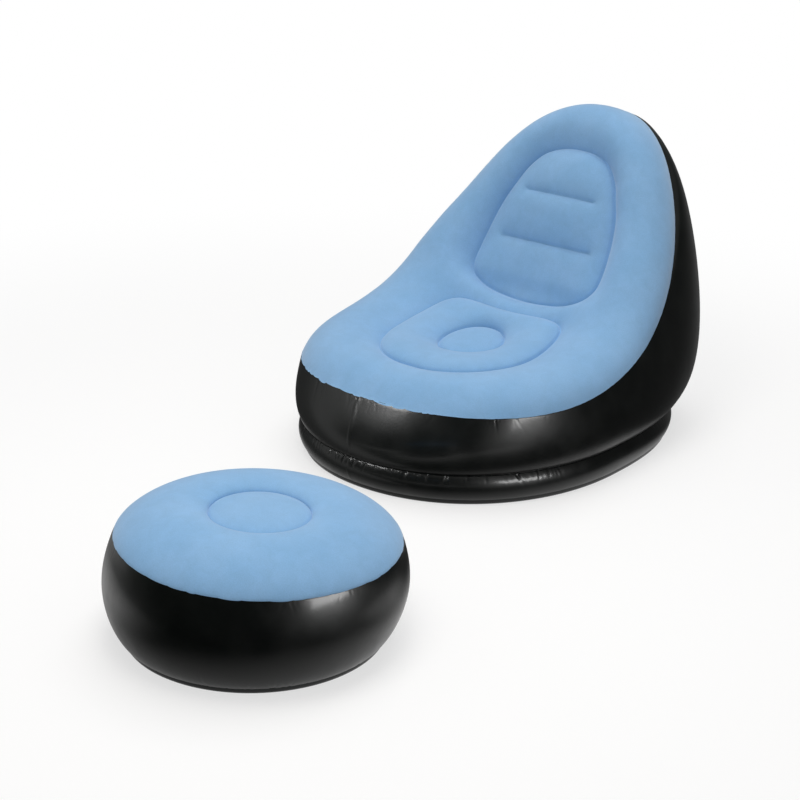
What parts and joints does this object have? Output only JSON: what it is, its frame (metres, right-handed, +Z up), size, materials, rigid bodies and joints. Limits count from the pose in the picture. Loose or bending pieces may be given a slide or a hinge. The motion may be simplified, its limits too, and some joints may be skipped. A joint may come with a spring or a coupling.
{
  "type": "inflatable lounge chair with footstool",
  "caption": "Inflatable lounge chair with a flocked blue seat and back, black PVC walls, inner ties and valves, and a loose round inflatable footstool.",
  "frame": {"origin": "on the floor under the middle of the chair's bottom, on the plane that halves the chair", "axes": "+X to the right of somebody looking at the chair from in front, +Y towards the back of the chair, +Z up; the chair faces -Y"},
  "size_m": [1.1063, 2.1801, 0.812],
  "materials": {
    "blue_flock": "light blue flocking on PVC sheet, velvety",
    "black_pvc": "black PVC sheet, soft semi-gloss",
    "clear_pvc": "milky PVC sheet, satin",
    "valve_vinyl": "soft black moulded vinyl"
  },
  "bodies": {
    "chair": {"chair_top_panel": "blue_flock", "chair_upper_wall": "black_pvc", "chair_base_wall": "black_pvc", "chair_bottom_panel": "black_pvc", "chair_top_weld": "black_pvc", "chair_waist_weld": "black_pvc", "chair_bottom_weld": "black_pvc", "waist_diaphragm": "clear_pvc", "seat_pad_tie": "clear_pvc", "seat_centre_tie": "clear_pvc", "back_pad_tie": "clear_pvc", "upper_back_tie_strip": "clear_pvc", "lower_back_tie_strip": "clear_pvc", "base_tie": "clear_pvc", "chair_valve_body": "valve_vinyl"},
    "chair_insert": {"chair_valve_insert": "valve_vinyl"},
    "chair_flap": {"chair_valve_flap": "clear_pvc"},
    "chair_cap": {"chair_valve_cap": "valve_vinyl"},
    "footstool": {"footstool_top_panel": "blue_flock", "footstool_wall": "black_pvc", "footstool_bottom_panel": "black_pvc", "footstool_top_weld": "black_pvc", "footstool_bottom_weld": "black_pvc", "footstool_centre_tie": "clear_pvc", "footstool_valve_body": "valve_vinyl"},
    "footstool_insert": {"footstool_valve_insert": "valve_vinyl"},
    "footstool_flap": {"footstool_valve_flap": "clear_pvc"},
    "footstool_cap": {"footstool_valve_cap": "valve_vinyl"}
  },
  "joints": [
    {"name": "footstool_slide", "type": "slide", "parent": "chair", "child": "footstool", "axis": [0, 1, 0], "range_m": [-0.3, 0.3]},
    {"name": "chair_insert_pull", "type": "slide", "parent": "chair", "child": "chair_insert", "axis": [0, 0.9866, -0.1635], "range_m": [0, 0.02]},
    {"name": "chair_cap_hinge", "type": "hinge", "parent": "chair_insert", "child": "chair_cap", "pos_m": [0, 0.6161, 0.2777], "axis": [1, 0, 0], "range_deg": [0, 150]},
    {"name": "chair_flap_hinge", "type": "hinge", "parent": "chair_insert", "child": "chair_flap", "pos_m": [0, 0.59901, 0.27546], "axis": [-1, 0, 0], "range_deg": [0, 60]},
    {"name": "footstool_insert_pull", "type": "slide", "parent": "footstool", "child": "footstool_insert", "axis": [-0.0013, 0.9927, -0.1207], "range_m": [0, 0.02]},
    {"name": "footstool_cap_hinge", "type": "hinge", "parent": "footstool_insert", "child": "footstool_cap", "pos_m": [0.32878, -0.90779, 0.1175], "axis": [0.9999, -0.0005, -0.0152], "range_deg": [0, 150]},
    {"name": "footstool_flap_hinge", "type": "hinge", "parent": "footstool_insert", "child": "footstool_flap", "pos_m": [0.32873, -0.92477, 0.11452], "axis": [-0.9999, 0.0005, 0.0152], "range_deg": [0, 60]}
  ]
}
